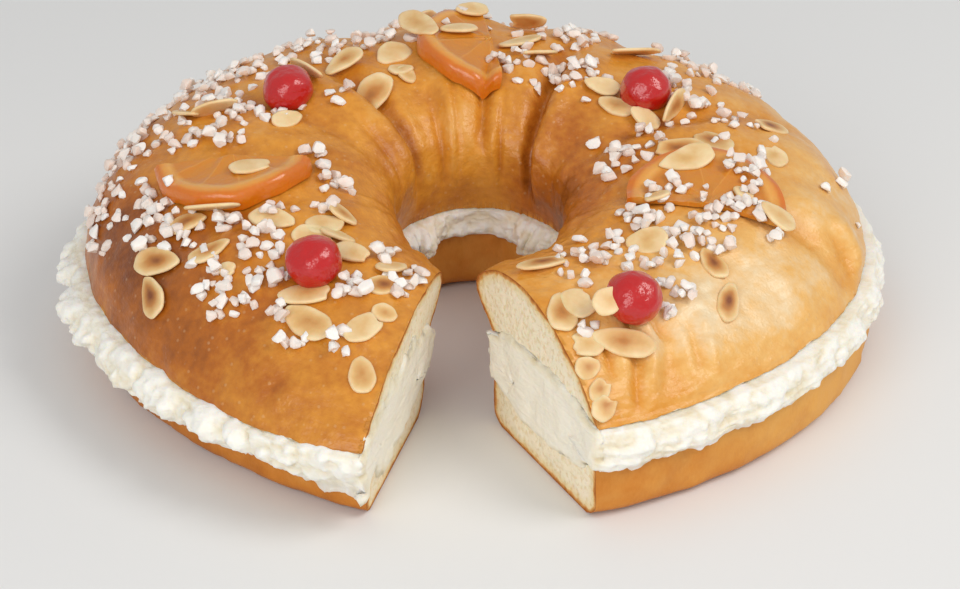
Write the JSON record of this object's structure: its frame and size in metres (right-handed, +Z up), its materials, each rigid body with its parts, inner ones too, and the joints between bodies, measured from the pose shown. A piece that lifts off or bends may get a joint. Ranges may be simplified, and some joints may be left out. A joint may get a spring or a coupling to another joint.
{
  "type": "roscon de reyes",
  "caption": "Ring-shaped sweet bread, split and filled with whipped cream, topped with candied fruit, flaked almonds and sugar, with one slice cut out.",
  "frame": {"origin": "middle of the whole ring's outline, on the surface that it stands on", "axes": "+Z up, +X to the right with the cut-out slice facing -Y"},
  "size_m": [0.3048, 0.273, 0.0943],
  "materials": {
    "crust": "egg-washed golden brown crust",
    "lower_crust": "plain baked crust",
    "cream": "whipped cream",
    "cherry": "candied, glossy",
    "orange": "candied, sticky and translucent",
    "almond": "toasted flakes",
    "sugar": "damp coarse nibs",
    "crumb": "cut bread, fine open pores"
  },
  "bodies": {
    "root": {"bread_bottom": "lower_crust", "cream_filling": "cream", "bread_top": "crust", "cherry_1": "cherry", "cherry_2": "cherry", "cherry_3": "cherry", "cherry_4": "cherry", "orange_slice_1": "orange", "orange_slice_2": "orange", "orange_slice_3": "orange"}
  },
  "joints": []
}
